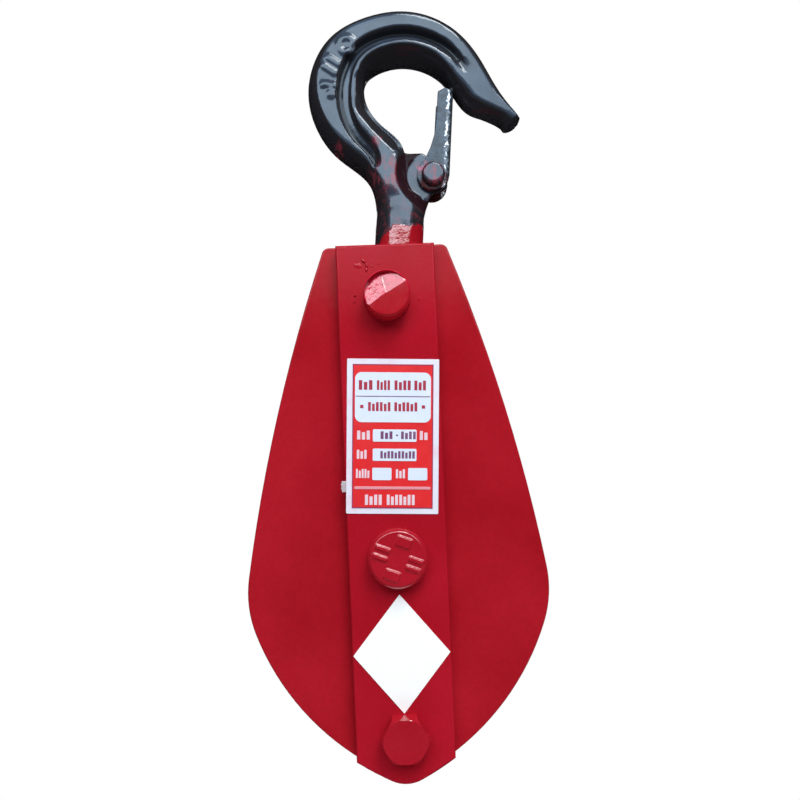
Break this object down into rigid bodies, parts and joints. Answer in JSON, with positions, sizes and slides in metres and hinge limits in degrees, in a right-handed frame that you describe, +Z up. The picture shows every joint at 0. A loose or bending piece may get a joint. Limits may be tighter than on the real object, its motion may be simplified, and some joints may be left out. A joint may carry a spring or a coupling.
{
  "type": "pulley block",
  "caption": "Single-sheave pulley block with shield-shaped steel cheeks, centre straps and a swivelling latched hook.",
  "frame": {"origin": "centre of the hook's bowl, at mid thickness", "axes": "+Z up with the block hanging straight down, -Y out of the labelled front, +X towards the hook's tip"},
  "size_m": [0.0937, 0.0545, 0.2466],
  "materials": {
    "red_paint": "gloss",
    "black_paint": "gloss over forged steel",
    "worn_steel": "black plating worn bright at the edges",
    "spring_steel": "plain wire",
    "sheave_iron": "turned groove, painted sides",
    "bronze": "turned",
    "plain_steel": "plain",
    "label_white": "satin film",
    "label_red": "satin print"
  },
  "bodies": {
    "hook_body": {"hook": "black_paint", "hook_washer": "plain_steel", "hook_nut": "plain_steel", "hook_nut_pin": "plain_steel", "latch_spring": "spring_steel"},
    "latch_body": {"latch": "worn_steel", "latch_rivet": "black_paint"},
    "crosshead_body": {"crosshead": "red_paint"},
    "block_body": {"front_cheek": "red_paint", "back_cheek": "red_paint", "front_strap": "red_paint", "back_strap": "red_paint", "axle_pin": "red_paint", "axle_washer": "red_paint", "axle_nut": "red_paint", "thrust_washers": "plain_steel", "bottom_bolt": "red_paint", "bottom_spacer": "red_paint", "bottom_washer": "red_paint", "bottom_nut": "red_paint", "label_sheet": "label_white", "label_field": "label_red", "label_panels": "label_white", "diamond_label": "label_white"},
    "sheave_body": {"sheave": "sheave_iron", "sheave_bush": "bronze"}
  },
  "joints": [
    {"name": "latch_hinge", "type": "hinge", "parent": "hook_body", "child": "latch_body", "pos_m": [0.00926, 0, -0.02721], "axis": [0, -1, 0], "range_deg": [0, 44], "stiffness_Nm_per_rad": 0.02, "springref_deg": -17.19, "deforming": ["latch_spring"]},
    {"name": "hook_swivel", "type": "hinge", "parent": "hook_body", "child": "crosshead_body", "pos_m": [0.00149, 0, -0.00013], "axis": [0.0872, 0, 0.9962], "continuous": true},
    {"name": "crosshead_tilt", "type": "hinge", "parent": "crosshead_body", "child": "block_body", "pos_m": [-0.00765, 0, -0.0714], "axis": [0, 1, 0], "range_deg": [-60, 60]},
    {"name": "sheave_spin", "type": "hinge", "parent": "block_body", "child": "sheave_body", "pos_m": [-0.00765, 0, -0.14991], "axis": [0, 1, 0], "continuous": true}
  ]
}
